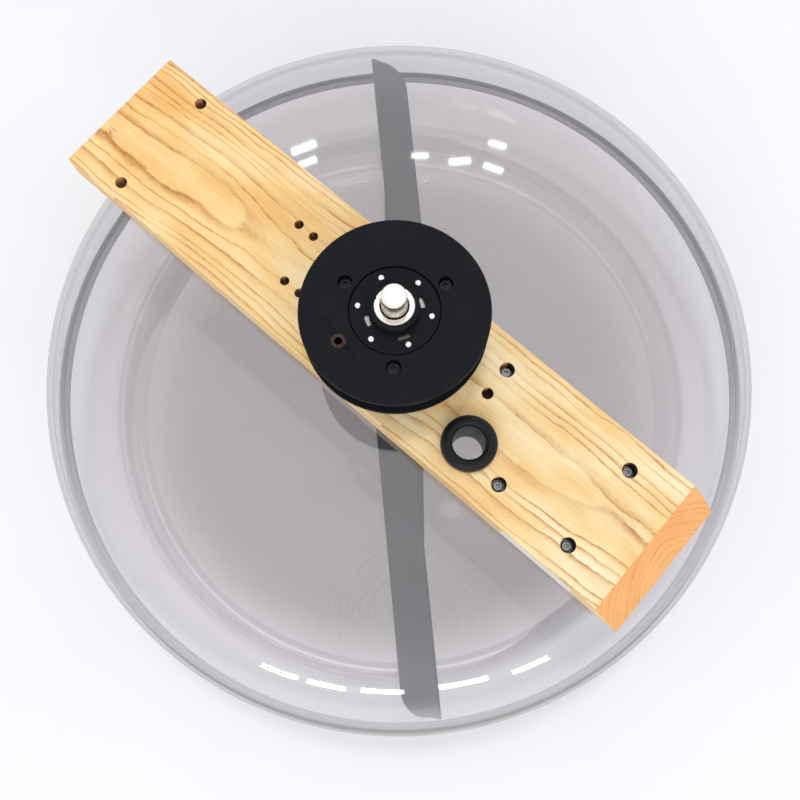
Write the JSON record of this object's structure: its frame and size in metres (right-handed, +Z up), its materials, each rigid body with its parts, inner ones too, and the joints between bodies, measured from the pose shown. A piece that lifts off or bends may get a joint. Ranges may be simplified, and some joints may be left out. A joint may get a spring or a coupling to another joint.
{
  "type": "rowing machine water flywheel tank",
  "caption": "Clear round water tank with an inner two-blade paddle, a wooden plank across its top and a black strap pulley on a steel shaft.",
  "frame": {"origin": "on the shaft axis at the flat underside of the tank", "axes": "+Z up along the drive shaft, +X along the plank towards its bevelled end"},
  "size_m": [0.53, 0.53, 0.2725],
  "materials": {
    "smoked_polycarbonate": "clear, polished, smoked",
    "black_rubber": "matt",
    "ash_wood": "clear satin oil",
    "zinc_screw": "zinc plated",
    "black_screw": "black oxide",
    "label_paper": "blank",
    "black_moulding": "fine matt",
    "bearing_steel": "ground",
    "polished_steel": "polished",
    "bright_aluminium": "bright",
    "copper_alloy": "dull reddish",
    "paddle_plastic": "satin blue-grey"
  },
  "bodies": {
    "tank": {"tank_lower_shell": "smoked_polycarbonate", "tank_upper_shell": "smoked_polycarbonate", "tank_seam_seal": "black_rubber", "top_plank": "ash_wood", "tank_screws": "zinc_screw", "tank_screw_washers": "zinc_screw", "filler_grommet": "black_rubber", "blank_side_label": "label_paper", "bearing_housing": "black_moulding", "housing_screws": "zinc_screw", "housing_o_ring": "black_rubber", "shaft_seal": "black_rubber", "upper_bearing_outer_ring": "bearing_steel", "lower_bearing_outer_ring": "bearing_steel"},
    "rotor": {"shaft": "polished_steel", "shaft_circlips": "bearing_steel", "thrust_washer": "bearing_steel", "paddle_hub": "paddle_plastic", "paddle_blade_a": "paddle_plastic", "paddle_blade_b": "paddle_plastic", "blade_rivets": "bearing_steel", "paddle_pin": "bearing_steel", "upper_bearing_inner_ring": "bearing_steel", "lower_bearing_inner_ring": "bearing_steel", "upper_bearing_balls": "bearing_steel", "lower_bearing_balls": "bearing_steel"},
    "pulley": {"clutch_hub": "black_moulding", "hub_snap_ring": "bearing_steel", "hub_rivets": "bright_aluminium", "lower_one_way_clutch": "bearing_steel", "upper_one_way_clutch": "bearing_steel", "clutch_collar": "bearing_steel", "pulley_cover": "black_moulding", "pulley_core": "black_moulding", "pulley_bottom_flange": "black_moulding", "pulley_screws": "black_screw", "strap_anchor_bush": "copper_alloy", "recoil_drum": "black_moulding"}
  },
  "joints": [
    {"name": "rotor_spin", "type": "hinge", "parent": "tank", "child": "rotor", "pos_m": [0, 0, 0.18], "axis": [0, 0, 1], "continuous": true},
    {"name": "pulley_spin", "type": "hinge", "parent": "rotor", "child": "pulley", "pos_m": [0, 0, 0.23], "axis": [0, 0, 1], "continuous": true}
  ]
}
